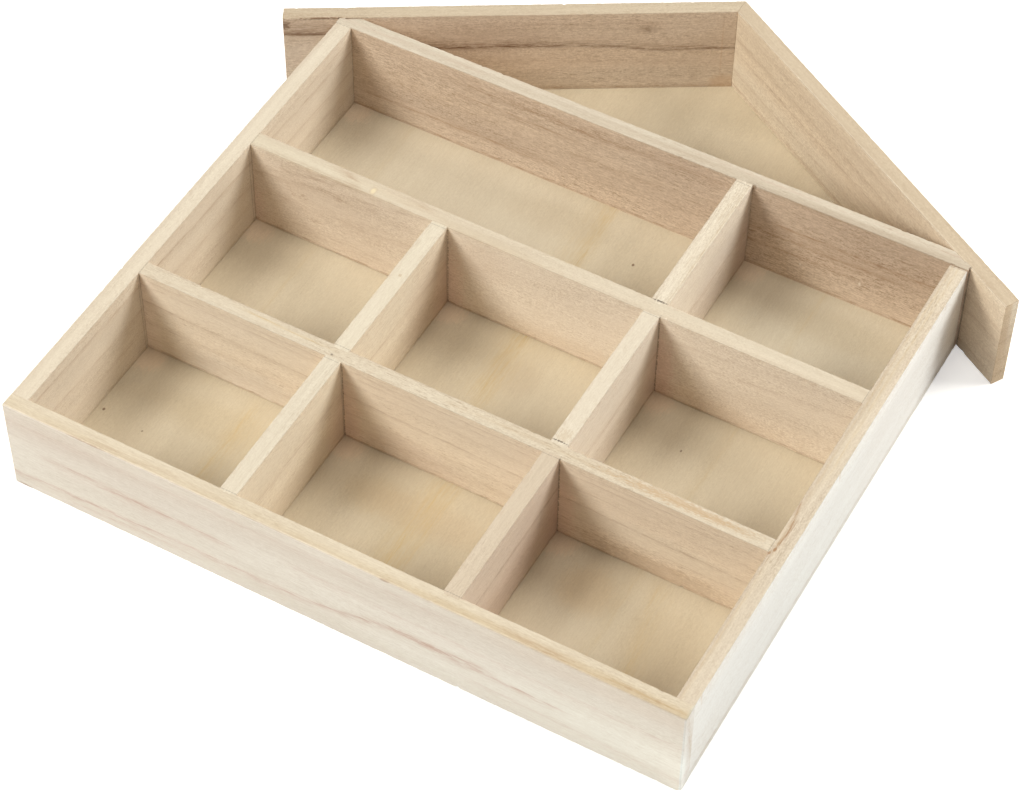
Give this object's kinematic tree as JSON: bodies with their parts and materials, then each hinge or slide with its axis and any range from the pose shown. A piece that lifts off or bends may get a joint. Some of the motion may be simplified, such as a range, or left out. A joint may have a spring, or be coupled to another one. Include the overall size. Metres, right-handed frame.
{
  "type": "house-shaped compartment storage box",
  "caption": "Open wooden tray shaped like a gabled house, with square compartments, one wide compartment and an attic under the roof boards, for small keepsakes.",
  "frame": {"origin": "middle of the outline at the underside, with the box lying on its back", "axes": "+X across the house to the viewer's right, +Y from the base board up to the ridge, +Z from the back panel out of the open rim"},
  "size_m": [0.3142, 0.3155, 0.0434],
  "materials": {
    "base_wood": "bare planed light wood, cream with pinkish-grey streaks",
    "wall_wood": "bare planed light wood, cream",
    "beam_wood": "bare planed light wood, light brown with fine grain",
    "left_roof_wood": "bare planed light wood, light brown with darker growth lines",
    "right_roof_wood": "bare planed light wood, warm, with wavy growth lines",
    "shelf_wood": "bare planed light wood, warm, with fine grain",
    "divider_wood": "bare planed light wood, warm",
    "back_plywood": "bare rotary-cut plywood face, pale beige with yellow-brown streaks"
  },
  "bodies": {
    "root": {"base_board": "base_wood", "left_wall": "wall_wood", "right_wall": "wall_wood", "tie_beam": "beam_wood", "left_roof_board": "left_roof_wood", "right_roof_board": "right_roof_wood", "lower_shelf": "shelf_wood", "upper_shelf": "shelf_wood", "bottom_row_left_divider": "divider_wood", "bottom_row_right_divider": "divider_wood", "middle_row_left_divider": "divider_wood", "middle_row_right_divider": "divider_wood", "top_row_right_divider": "divider_wood", "back_panel": "back_plywood"}
  },
  "joints": []
}
